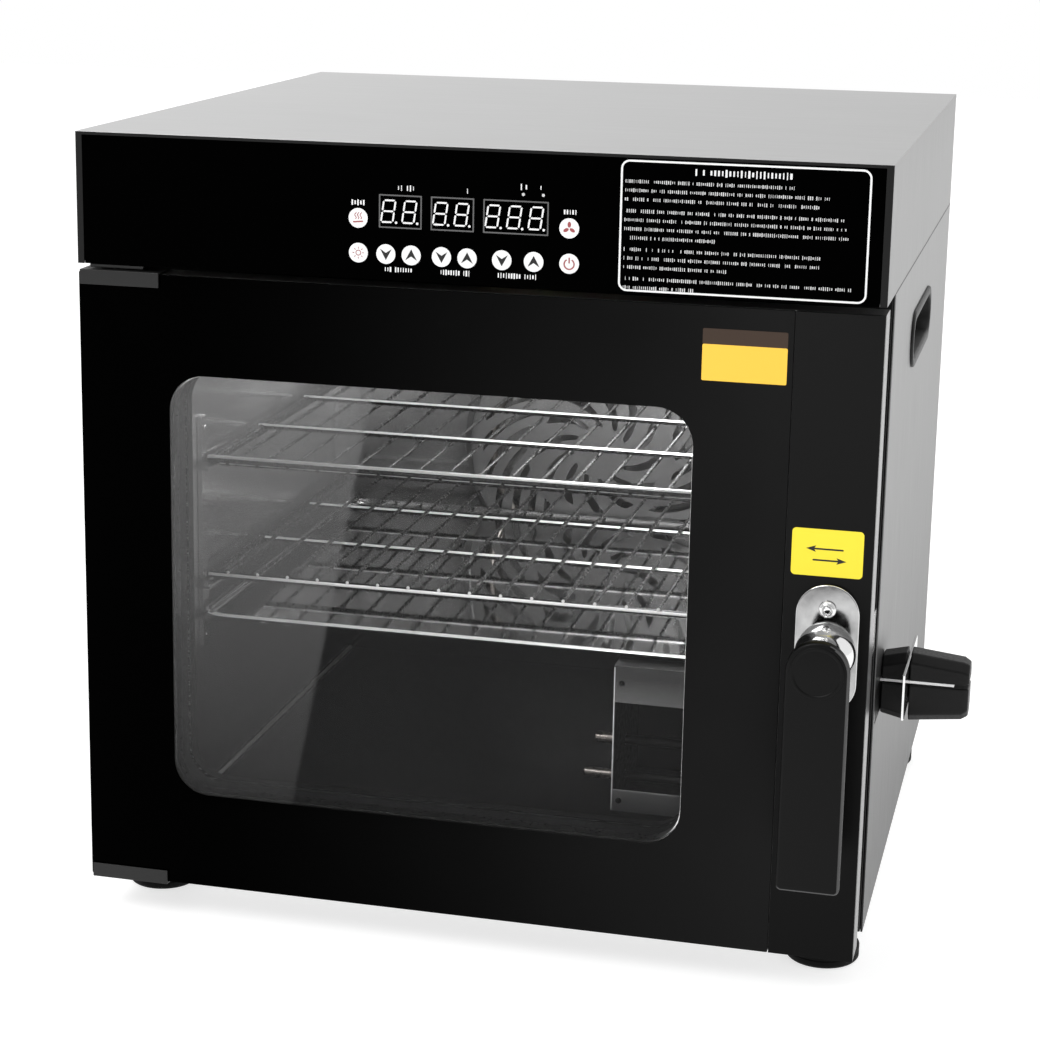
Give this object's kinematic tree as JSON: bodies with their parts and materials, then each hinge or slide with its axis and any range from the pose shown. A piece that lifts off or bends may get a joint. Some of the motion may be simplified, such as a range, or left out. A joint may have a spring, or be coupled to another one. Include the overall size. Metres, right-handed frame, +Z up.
{
  "type": "electric smoker",
  "caption": "Countertop electric smoker: touch-panel head over an insulated cabinet, glass door with lever latch, wire racks, drip tray and side wood-chip drawer.",
  "frame": {"origin": "on the standing surface, under the middle of the whole object's box", "axes": "+X to the right seen from the front, +Y from the door to the back, +Z up"},
  "size_m": [0.5346, 0.5324, 0.493],
  "materials": {
    "satin_steel": "satin light-grey sheet",
    "inner_steel": "plain stainless sheet",
    "bright_steel": "polished bright metal",
    "black_glass": "black-printed glass, glossy",
    "door_glass": "dark glass with a clear window",
    "clear_glass": "clear heat-resisting glass",
    "black_stile": "glossy black strip",
    "black_plastic": "moulded black plastic",
    "black_rubber": "black rubber",
    "seal_rubber": "dark silicone rubber",
    "grey_zinc": "mid-grey metal",
    "heater_sheath": "heat-darkened metal tube",
    "fan_alloy": "plain aluminium",
    "motor_paint": "grey motor steel",
    "lamp_ceramic": "off-white ceramic",
    "mineral_wool": "off-white mineral wool",
    "board_laminate": "green circuit board",
    "display_case": "dark display case"
  },
  "bodies": {
    "cabinet": {"back_panel": "satin_steel", "base_panel": "satin_steel", "carry_cup_left": "black_plastic", "carry_cup_right": "black_plastic", "chamber_liner": "inner_steel", "chip_housing": "inner_steel", "control_board": "board_laminate", "control_glass": "black_glass", "cord_gland": "black_plastic", "display_heat_time": "display_case", "display_ignition_time": "display_case", "display_temperature": "display_case", "fan_guard": "inner_steel", "fan_motor": "motor_paint", "foot_front_left": "black_rubber", "foot_front_right": "black_rubber", "foot_rear_left": "black_rubber", "foot_rear_right": "black_rubber", "front_frame": "inner_steel", "front_plate": "satin_steel", "head_cover": "satin_steel", "head_floor": "satin_steel", "heating_ring": "heater_sheath", "hinge_bracket_bottom": "inner_steel", "hinge_bracket_top": "inner_steel", "igniter": "heater_sheath", "insulation": "mineral_wool", "lamp_holder": "lamp_ceramic", "lamp_lens": "clear_glass", "power_board": "board_laminate", "shelf_rails_left": "inner_steel", "shelf_rails_right": "inner_steel", "side_panel_left": "satin_steel", "side_panel_right": "satin_steel", "strike_plate": "inner_steel", "temperature_probe": "inner_steel", "touch_springs": "inner_steel"},
    "door": {"door_frame": "satin_steel", "door_glass": "door_glass", "door_stile": "black_stile", "door_inner_panel": "inner_steel", "door_glass_inner": "clear_glass", "door_seal": "seal_rubber", "hinge_leaf_top": "grey_zinc", "hinge_leaf_bottom": "grey_zinc", "latch_base": "bright_steel", "latch_collar": "bright_steel", "latch_screw_top": "bright_steel", "latch_screw_bottom": "bright_steel"},
    "latch": {"latch_lever": "black_plastic", "latch_claw": "inner_steel"},
    "chip_drawer": {"chip_tray": "inner_steel", "drawer_tang": "inner_steel", "drawer_shield": "bright_steel", "drawer_grip_upper": "black_plastic", "drawer_grip_lower": "black_plastic"},
    "fan": {"fan_impeller": "fan_alloy"},
    "rack_upper": {"rack_upper": "bright_steel"},
    "rack_lower": {"rack_lower": "bright_steel"},
    "drip_tray": {"drip_tray": "bright_steel"}
  },
  "joints": [
    {"name": "door_hinge", "type": "hinge", "parent": "cabinet", "child": "door", "pos_m": [-0.2515, -0.2101, 0.021], "axis": [0, 0, -1], "range_deg": [0, 110]},
    {"name": "latch_turn", "type": "hinge", "parent": "door", "child": "latch", "pos_m": [0.1902, -0.2221, 0.214], "axis": [0, 1, 0], "range_deg": [0, 90]},
    {"name": "chip_drawer_slide", "type": "slide", "parent": "cabinet", "child": "chip_drawer", "axis": [1, 0, 0], "range_m": [0, 0.145]},
    {"name": "fan_spin", "type": "hinge", "parent": "cabinet", "child": "fan", "pos_m": [-0.0255, 0.1879, 0.226], "axis": [0, 1, 0], "continuous": true},
    {"name": "rack_upper_slide", "type": "slide", "parent": "cabinet", "child": "rack_upper", "axis": [0, -1, 0], "range_m": [0, 0.055]},
    {"name": "rack_lower_slide", "type": "slide", "parent": "cabinet", "child": "rack_lower", "axis": [0, -1, 0], "range_m": [0, 0.055]},
    {"name": "drip_tray_slide", "type": "slide", "parent": "cabinet", "child": "drip_tray", "axis": [0, -1, 0], "range_m": [0, 0.032]}
  ]
}
